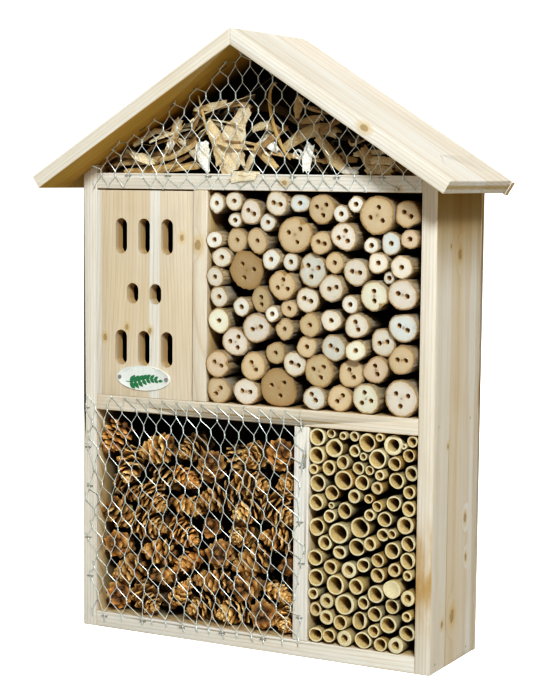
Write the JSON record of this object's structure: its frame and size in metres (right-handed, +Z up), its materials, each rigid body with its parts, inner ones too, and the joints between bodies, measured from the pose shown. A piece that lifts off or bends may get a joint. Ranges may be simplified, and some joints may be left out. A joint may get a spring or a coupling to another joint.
{
  "type": "insect hotel",
  "caption": "House-shaped wooden insect hotel with a pitched roof, a slotted butterfly bay, drilled logs, bamboo canes, pine cones and wood curls behind wire netting.",
  "frame": {"origin": "middle of the whole object's footprint, on the ground", "axes": "+X to the right seen from the front, +Y from the open front to the back panel, +Z up"},
  "size_m": [0.3934, 0.1406, 0.526],
  "materials": {
    "carcass_board": "bare planed softwood, glued from staves",
    "roof_board": "bare planed softwood, glued from staves",
    "front_board": "bare planed softwood, glued from staves",
    "back_board": "bare softwood, sanded",
    "log_wood": "sawn branch ends, thin bark at the side",
    "bamboo_cane": "sawn cane, silky outside",
    "pine_cone": "open cone scales, matt",
    "wood_curl": "planed curls and bark strips, matt",
    "net_wire": "galvanised, twisted",
    "staple_wire": "galvanised",
    "nail_steel": "plain bright",
    "hanger_steel": "zinc plated",
    "label_plate": "matt pale paint with a plain printed leaf"
  },
  "bodies": {
    "root": {"attic_net": "net_wire", "attic_net_staples": "staple_wire", "back_brads": "nail_steel", "back_panel": "back_board", "bamboo_layer_1": "bamboo_cane", "bamboo_layer_10": "bamboo_cane", "bamboo_layer_11": "bamboo_cane", "bamboo_layer_2": "bamboo_cane", "bamboo_layer_3": "bamboo_cane", "bamboo_layer_4": "bamboo_cane", "bamboo_layer_5": "bamboo_cane", "bamboo_layer_6": "bamboo_cane", "bamboo_layer_7": "bamboo_cane", "bamboo_layer_8": "bamboo_cane", "bamboo_layer_9": "bamboo_cane", "bottom_board": "carcass_board", "butterfly_front": "front_board", "cone_bay_net": "net_wire", "cone_bay_net_staples": "staple_wire", "cone_layer_1": "pine_cone", "cone_layer_2": "pine_cone", "cone_layer_3": "pine_cone", "cone_layer_4": "pine_cone", "cone_layer_5": "pine_cone", "cone_layer_6": "pine_cone", "cone_layer_7": "pine_cone", "curl_layer_1": "wood_curl", "curl_layer_2": "wood_curl", "curl_layer_3": "wood_curl", "curl_layer_4": "wood_curl", "curl_layer_5": "wood_curl", "curl_layer_6": "wood_curl", "divider_brads": "nail_steel", "hanger_screws": "hanger_steel", "label_nails": "nail_steel", "label_plate": "label_plate", "left_hanger_plate": "hanger_steel", "left_roof_board": "roof_board", "left_side": "carcass_board", "log_layer_1": "log_wood", "log_layer_2": "log_wood", "log_layer_3": "log_wood", "log_layer_4": "log_wood", "log_layer_5": "log_wood", "log_layer_6": "log_wood", "log_layer_7": "log_wood", "log_layer_8": "log_wood", "log_layer_9": "log_wood", "lower_divider": "carcass_board", "middle_shelf": "carcass_board", "right_hanger_plate": "hanger_steel", "right_roof_board": "roof_board", "right_side": "carcass_board", "roof_brads": "nail_steel", "side_brads": "nail_steel", "top_shelf": "carcass_board", "upper_divider": "carcass_board"}
  },
  "joints": []
}
